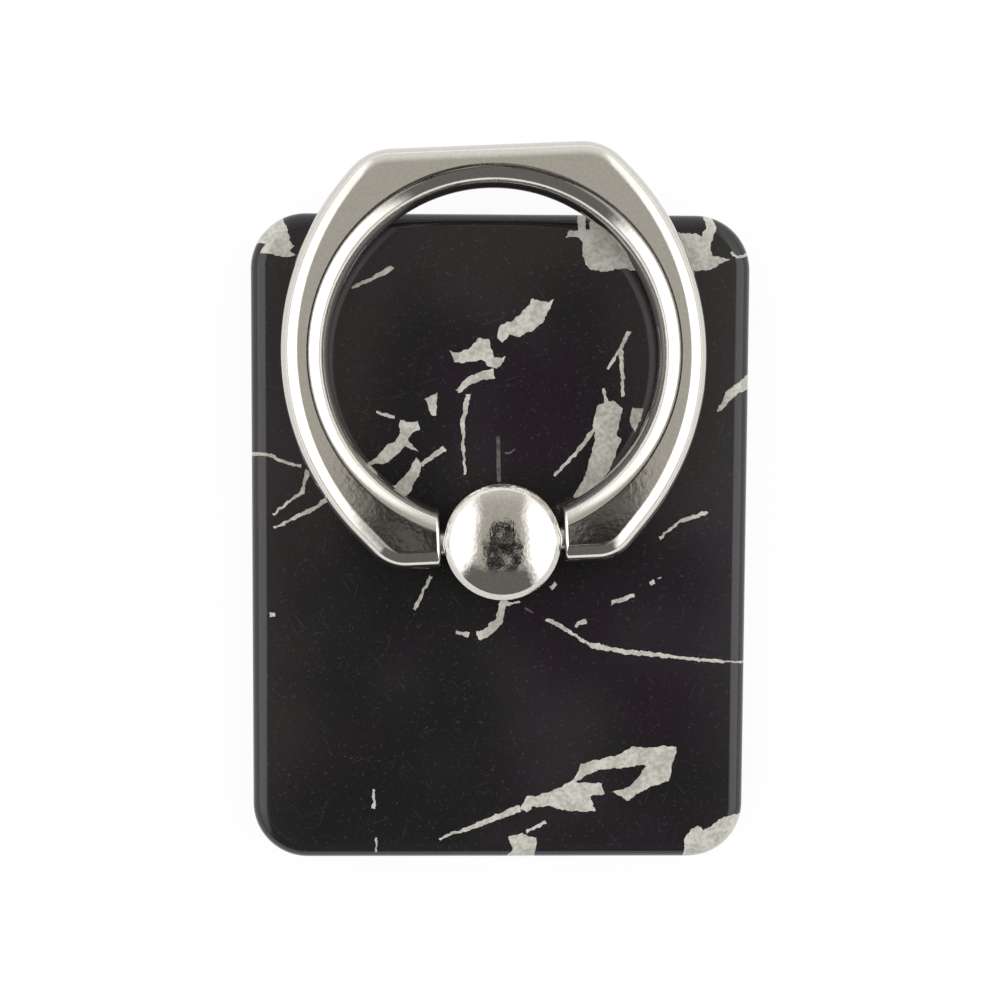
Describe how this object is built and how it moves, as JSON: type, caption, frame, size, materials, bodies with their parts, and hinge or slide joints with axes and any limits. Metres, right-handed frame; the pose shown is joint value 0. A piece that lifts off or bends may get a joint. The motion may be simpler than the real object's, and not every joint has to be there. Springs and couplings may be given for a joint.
{
  "type": "phone ring holder",
  "caption": "Flat rectangular back plate with a dark marble-look print, carrying a chrome finger ring that swivels on a domed hub and flips up to grip or prop a phone.",
  "frame": {"origin": "middle of the adhesive pad's sticking face, under the hub's axis", "axes": "+Z out of the printed face of the plate, +Y along the plate towards the far end of the ring, +X to the right of the printed face"},
  "size_m": [0.035, 0.0497, 0.0081],
  "materials": {
    "printed_plastic": "moulded plastic with a glossy black marble print",
    "foam_tape": "soft acrylic foam tape",
    "spring_steel": "plain spring steel",
    "chrome_plate": "polished casting with bright chrome plating",
    "plain_steel": "zinc-plated steel"
  },
  "bodies": {
    "base": {"base_plate": "printed_plastic", "adhesive_pad": "foam_tape", "disc_spring": "spring_steel"},
    "hub": {"hub": "chrome_plate", "hinge_pin": "plain_steel", "flat_washer": "plain_steel", "screw": "plain_steel"},
    "ring": {"ring": "chrome_plate"}
  },
  "joints": [
    {"name": "hub_swivel", "type": "hinge", "parent": "base", "child": "hub", "pos_m": [0, 0, 0.0037], "axis": [0, 0, 1], "continuous": true},
    {"name": "ring_flip", "type": "hinge", "parent": "hub", "child": "ring", "pos_m": [0, 0, 0.00581], "axis": [0.9989, 0.0471, 0], "range_deg": [0, 180]}
  ]
}
